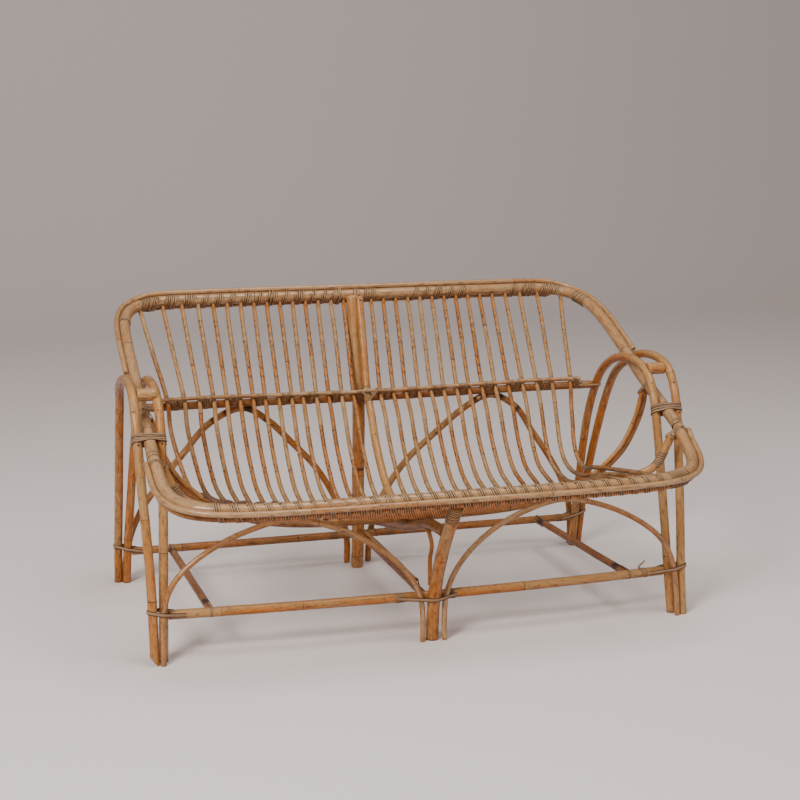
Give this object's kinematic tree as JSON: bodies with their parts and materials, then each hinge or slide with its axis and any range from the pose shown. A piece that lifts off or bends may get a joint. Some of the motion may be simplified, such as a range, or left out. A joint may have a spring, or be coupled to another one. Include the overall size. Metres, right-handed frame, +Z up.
{
  "type": "rattan garden sofa",
  "caption": "Open-frame rattan garden sofa with paired arm hoops, arched braces and a slatted bucket seat that runs up into a rounded back.",
  "frame": {"origin": "middle of the footprint on the floor", "axes": "+X along the seat towards the sitter's left arm, +Y towards the back, +Z up"},
  "size_m": [1.3554, 0.9096, 0.7638],
  "materials": {
    "pale_pole": "worn straw-coloured rattan",
    "honey_pole": "satin honey rattan",
    "dark_pole": "satin dark rattan",
    "slat_cane": "matt thin cane",
    "split_cane": "pale split cane binding"
  },
  "bodies": {
    "root": {"upper_rim": "pale_pole", "front_rim": "pale_pole", "upper_companion_cane": "honey_pole", "front_companion_cane": "pale_pole", "front_lower_cane": "dark_pole", "arm_hoop_outer_right": "honey_pole", "arm_hoop_inner_right": "honey_pole", "arm_hoop_outer_left": "honey_pole", "arm_hoop_inner_left": "honey_pole", "mid_rail": "dark_pole", "slat_left_01": "slat_cane", "slat_left_02": "slat_cane", "slat_left_03": "slat_cane", "slat_left_04": "slat_cane", "slat_left_05": "slat_cane", "slat_left_06": "slat_cane", "slat_left_07": "slat_cane", "slat_left_08": "slat_cane", "slat_left_09": "slat_cane", "slat_left_10": "slat_cane", "slat_left_11": "slat_cane", "slat_left_12": "slat_cane", "slat_left_13": "slat_cane", "slat_left_14": "slat_cane", "slat_left_15": "slat_cane", "slat_right_01": "slat_cane", "slat_right_02": "slat_cane", "slat_right_03": "slat_cane", "slat_right_04": "slat_cane", "slat_right_05": "slat_cane", "slat_right_06": "slat_cane", "slat_right_07": "slat_cane", "slat_right_08": "slat_cane", "slat_right_09": "slat_cane", "slat_right_10": "slat_cane", "slat_right_11": "slat_cane", "slat_right_12": "slat_cane", "slat_right_13": "slat_cane", "slat_right_14": "slat_cane", "slat_right_15": "slat_cane", "centre_seat_pole": "honey_pole", "mid_rail_face_cane": "pale_pole", "front_seat_bearer": "honey_pole", "rear_seat_bearer": "dark_pole", "centre_back_post": "dark_pole", "centre_front_leg": "honey_pole", "centre_seat_bearer": "honey_pole", "front_stretcher": "dark_pole", "back_stretcher": "dark_pole", "side_stretcher_left": "dark_pole", "side_stretcher_right": "dark_pole", "centre_stretcher": "dark_pole", "front_arch_left": "honey_pole", "back_arch_left": "dark_pole", "front_arch_right": "honey_pole", "back_arch_right": "dark_pole", "leg_top_winding": "split_cane", "arm_lash_left": "split_cane", "arm_lash_right": "split_cane"}
  },
  "joints": []
}
